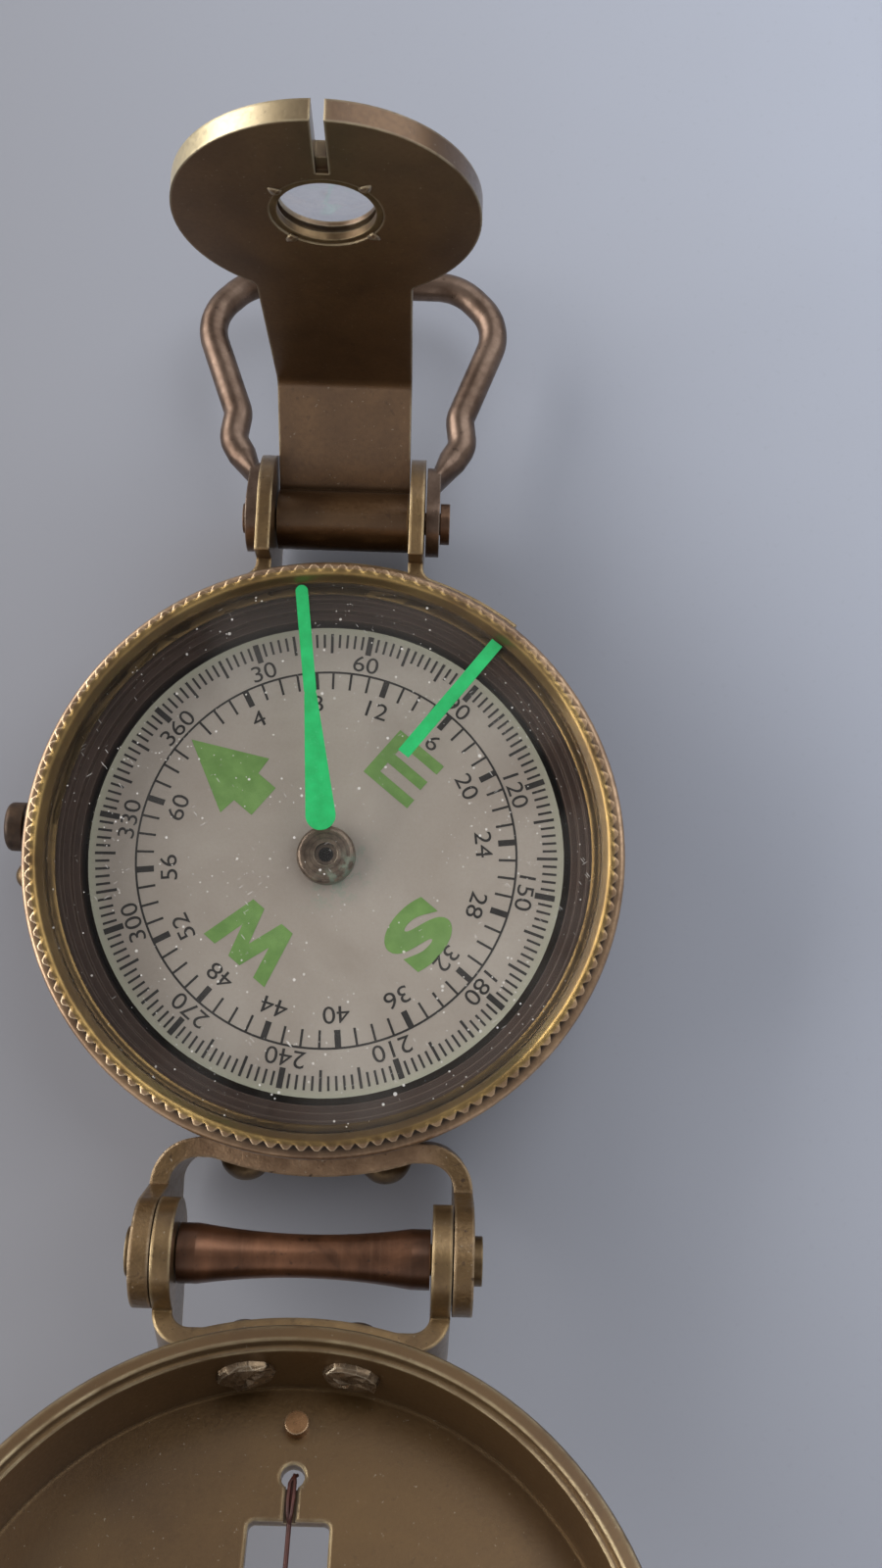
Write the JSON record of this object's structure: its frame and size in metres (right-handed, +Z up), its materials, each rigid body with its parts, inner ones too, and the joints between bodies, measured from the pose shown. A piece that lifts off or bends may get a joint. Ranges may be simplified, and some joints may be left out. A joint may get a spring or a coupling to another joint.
{
  "type": "sighting pocket compass",
  "caption": "Sighting pocket compass lying open: round case with a turning glazed bezel and floating dial, upright lens arm, thumb loop and hinged lid with window and sighting wire.",
  "frame": {"origin": "middle of the flat underside of the case, on the axis of bezel and dial", "axes": "+Z up along the dial axis, +Y towards the eyepiece and thumb loop, -Y towards the lid hinge, -X towards the dial lock knob"},
  "size_m": [0.0551, 0.1418, 0.051],
  "materials": {
    "case_paint": "satin, worn olive-brown lacquer over brass",
    "bezel_brass": "brown patina with polished edges",
    "hinge_brass": "coppery patina",
    "well_paint": "dark matt paint",
    "clear_glass": "clear, lightly scratched",
    "lens_glass": "clear",
    "luminous_paint": "matt luminous paint",
    "dial_card": "matt printed card",
    "hub_brass": "turned brass",
    "steel": "bare steel",
    "jewel": "polished stone",
    "sight_wire": "dark red-brown"
  },
  "bodies": {
    "case": {"case_cup": "case_paint", "dial_well_ring": "well_paint", "pivot_post": "hub_brass", "pivot_needle": "steel", "bezel_snap_ring": "steel", "lock_rivet": "hinge_brass", "eyepiece_bracket": "case_paint", "eyepiece_bracket_rivets": "hinge_brass", "eyepiece_pin": "hinge_brass", "case_hinge_bracket": "case_paint", "case_hinge_rivets": "hinge_brass", "hinge_pin": "hinge_brass"},
    "bezel": {"bezel_ring": "bezel_brass", "bezel_glass": "clear_glass", "luminous_lines": "luminous_paint"},
    "dial": {"dial_card": "dial_card", "dial_magnet": "steel", "dial_hub": "hub_brass", "dial_jewel": "jewel"},
    "lock": {"lock_lever": "case_paint", "lock_knob": "hinge_brass", "lock_lifter": "hub_brass"},
    "eyepiece": {"eyepiece_arm": "case_paint", "eyepiece_lens": "lens_glass", "lens_ring": "hinge_brass"},
    "thumb_loop": {"thumb_loop": "hinge_brass"},
    "spool": {"hinge_spool": "hinge_brass"},
    "lid": {"lid_hinge_bracket": "case_paint", "lid_hinge_rivets": "hinge_brass", "lid_shell": "case_paint", "sighting_wire": "sight_wire", "lid_stud": "hinge_brass"}
  },
  "joints": [
    {"name": "bezel_turn", "type": "hinge", "parent": "case", "child": "bezel", "pos_m": [0, 0, 0.0125], "axis": [0, 0, 1], "continuous": true},
    {"name": "dial_swing", "type": "hinge", "parent": "case", "child": "dial", "pos_m": [0, 0, 0.011], "axis": [0, 0, 1], "continuous": true},
    {"name": "lock_pivot", "type": "hinge", "parent": "case", "child": "lock", "pos_m": [-0.0256, -0.0019, 0.006], "axis": [1, 0, 0], "range_deg": [0, 15]},
    {"name": "eyepiece_fold", "type": "hinge", "parent": "case", "child": "eyepiece", "pos_m": [0, 0.0314, 0.007], "axis": [1, 0, 0], "range_deg": [-15, 90]},
    {"name": "thumb_loop_swing", "type": "hinge", "parent": "case", "child": "thumb_loop", "pos_m": [0, 0.0314, 0.007], "axis": [1, 0, 0], "range_deg": [-105, 34]},
    {"name": "spool_spin", "type": "hinge", "parent": "case", "child": "spool", "pos_m": [0, -0.0323, 0.014], "axis": [1, 0, 0], "continuous": true},
    {"name": "lid_fold", "type": "hinge", "parent": "case", "child": "lid", "pos_m": [0, -0.0323, 0.014], "axis": [1, 0, 0], "range_deg": [-145.5, 34.5]}
  ]
}
